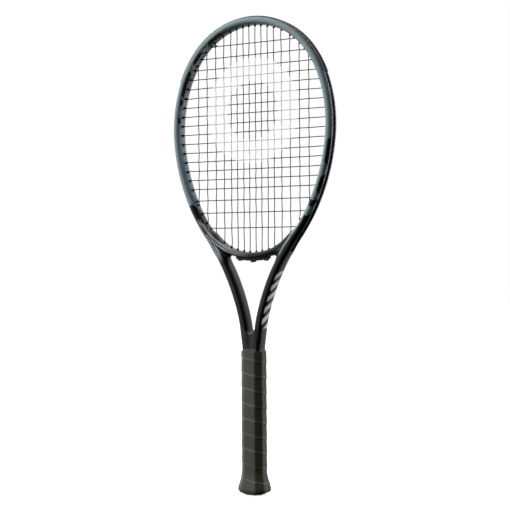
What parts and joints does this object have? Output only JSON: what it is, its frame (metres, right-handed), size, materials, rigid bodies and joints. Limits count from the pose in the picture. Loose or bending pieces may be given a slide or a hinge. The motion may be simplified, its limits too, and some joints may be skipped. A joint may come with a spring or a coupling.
{
  "type": "tennis racket",
  "caption": "Strung tennis racket: oval hollow hoop with a woven string bed, open V throat with a curved bridge, and an octagonal handle wrapped in tape that flares at the butt.",
  "frame": {"origin": "centre of the butt end face, on the long axis of the handle", "axes": "+Z along the handle towards the head, +X across the string bed, -Y out of the front face of the string bed"},
  "size_m": [0.262, 0.04, 0.6858],
  "materials": {
    "frame_paint": "gloss slate-teal and black paint over carbon fibre",
    "throat_paint": "gloss black paint over carbon fibre",
    "bumper": "matt black nylon",
    "grommet": "matt black nylon",
    "string": "satin dark grey polymer",
    "pallet_foam": "moulded foam",
    "cap_plastic": "matt black moulding",
    "badge": "plain satin disc",
    "staple": "steel wire",
    "grip": "dark grey cushioned tape, satin",
    "tape": "satin black tape"
  },
  "bodies": {
    "root": {"frame_tube": "frame_paint", "throat_bridge": "throat_paint", "shaft_web": "throat_paint", "bumper_guard": "bumper", "side_grommet_strip_right": "grommet", "side_grommet_strip_left": "grommet", "shoulder_grommets": "grommet", "throat_grommet_strip": "grommet", "main_string": "string", "cross_string": "string", "tie_off_knots": "string", "handle_pallet": "pallet_foam", "butt_cap": "cap_plastic", "butt_cap_badge": "badge", "butt_cap_staples": "staple", "grip_wrap": "grip", "finishing_tape": "tape"}
  },
  "joints": []
}
